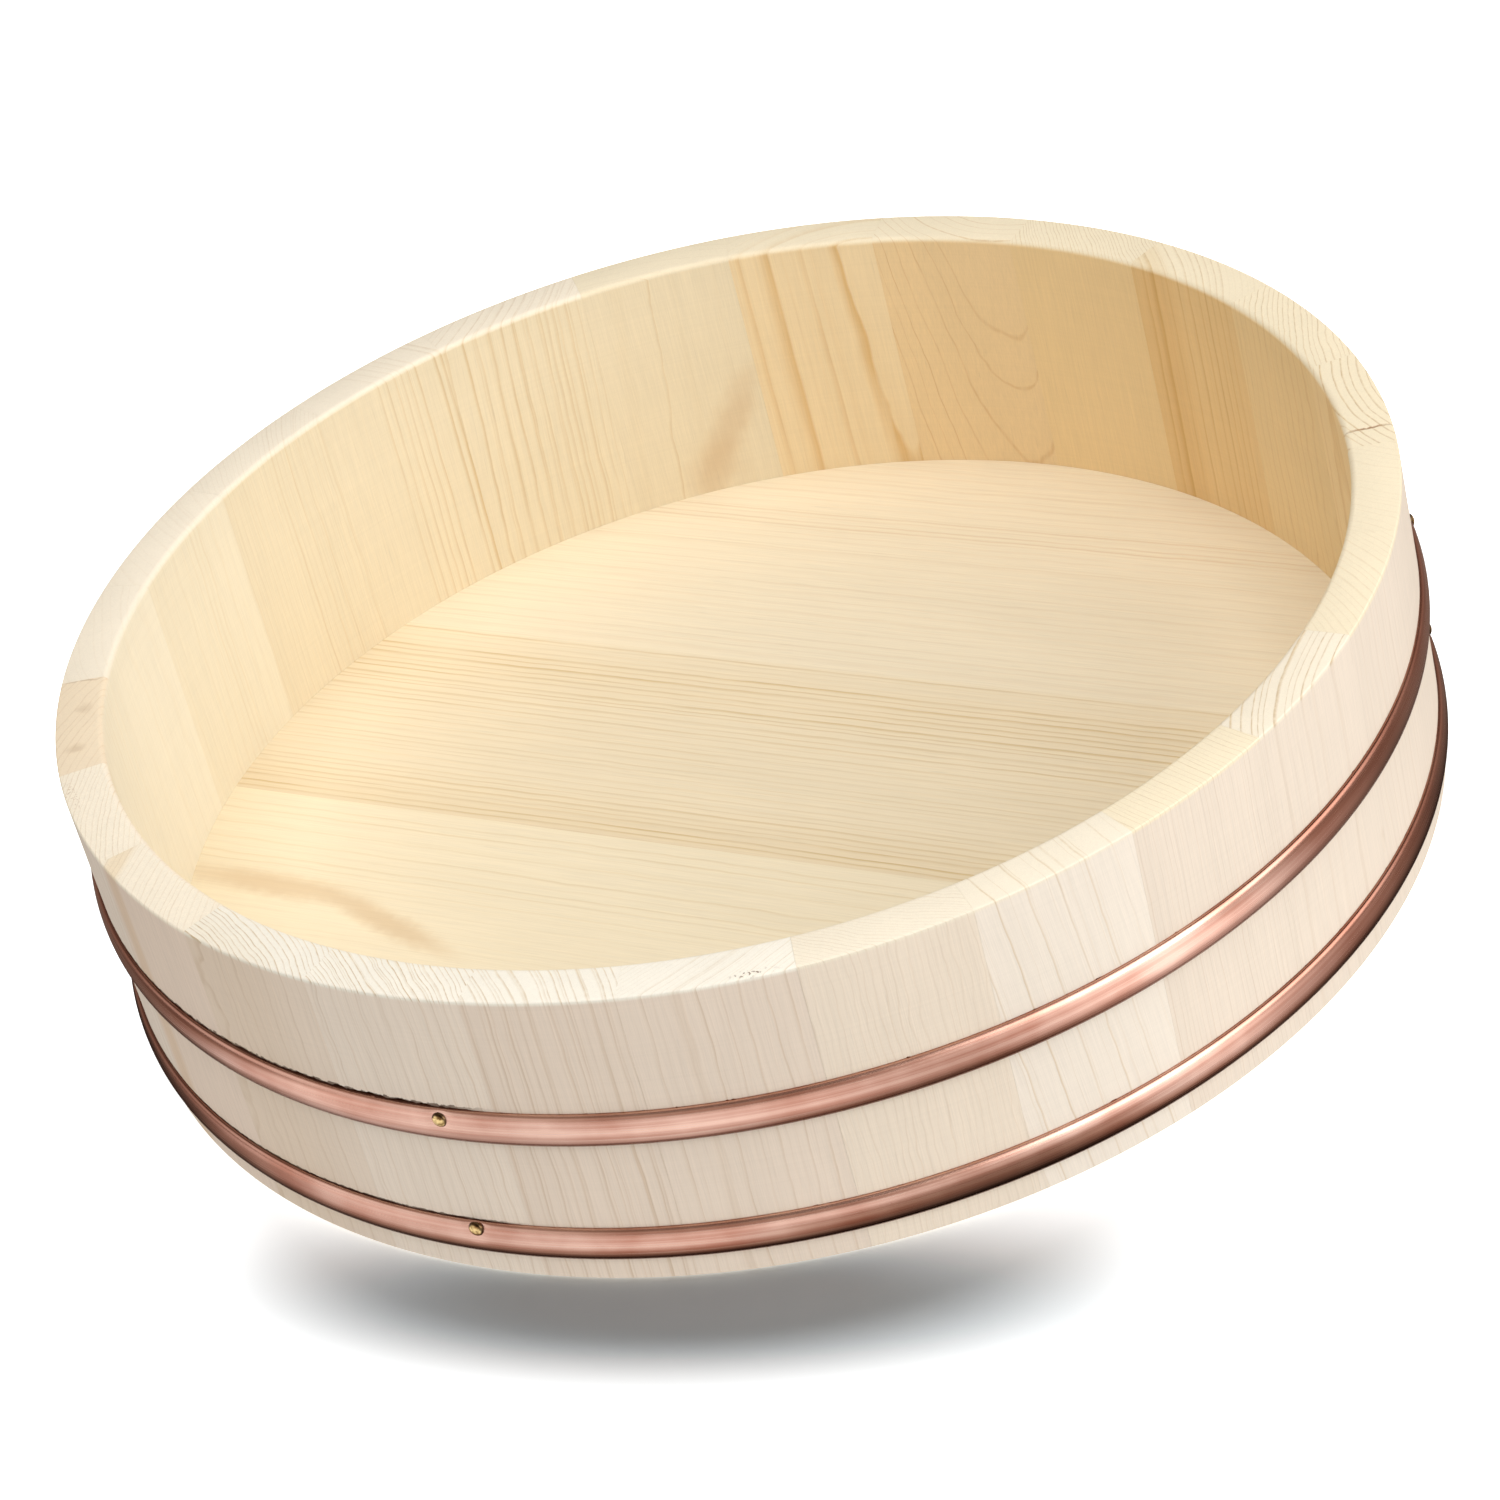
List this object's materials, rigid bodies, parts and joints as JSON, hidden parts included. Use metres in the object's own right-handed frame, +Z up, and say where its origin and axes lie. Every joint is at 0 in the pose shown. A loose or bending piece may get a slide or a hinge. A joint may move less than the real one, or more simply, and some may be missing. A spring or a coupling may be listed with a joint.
{
  "type": "sushi rice tub",
  "caption": "Round, straight-sided softwood tub of staves round a boarded floor, bound by copper hoops, for cooling and seasoning rice.",
  "frame": {"origin": "on the ground, at the middle of the foot", "axes": "+Z up along the tub's axis; +X along the grain of the floor boards; the front nails face -Y"},
  "size_m": [0.3336, 0.3338, 0.08],
  "materials": {
    "spruce_pale": "planed and sanded, bare",
    "spruce_warm": "planed and sanded, bare",
    "spruce_light": "planed and sanded, bare",
    "copper": "drawn strip, satin, bare",
    "brass": "polished"
  },
  "bodies": {
    "root": {"floor_board_1": "spruce_light", "floor_board_2": "spruce_pale", "floor_board_3": "spruce_warm", "floor_board_4": "spruce_light", "upper_hoop": "copper", "upper_nail_1": "brass", "upper_nail_2": "brass", "upper_nail_3": "brass", "lower_hoop": "copper", "lower_nail_1": "brass", "lower_nail_2": "brass", "lower_nail_3": "brass", "stave_01": "spruce_warm", "stave_02": "spruce_light", "stave_03": "spruce_pale", "stave_04": "spruce_warm", "stave_05": "spruce_light", "stave_06": "spruce_pale", "stave_07": "spruce_warm", "stave_08": "spruce_light", "stave_09": "spruce_pale", "stave_10": "spruce_warm", "stave_11": "spruce_light", "stave_12": "spruce_pale", "stave_13": "spruce_warm", "stave_14": "spruce_light", "stave_15": "spruce_pale", "stave_16": "spruce_warm", "stave_17": "spruce_light", "stave_18": "spruce_pale", "stave_19": "spruce_warm", "stave_20": "spruce_light", "stave_21": "spruce_pale", "stave_22": "spruce_warm", "stave_23": "spruce_light", "stave_24": "spruce_pale", "stave_25": "spruce_warm"}
  },
  "joints": []
}
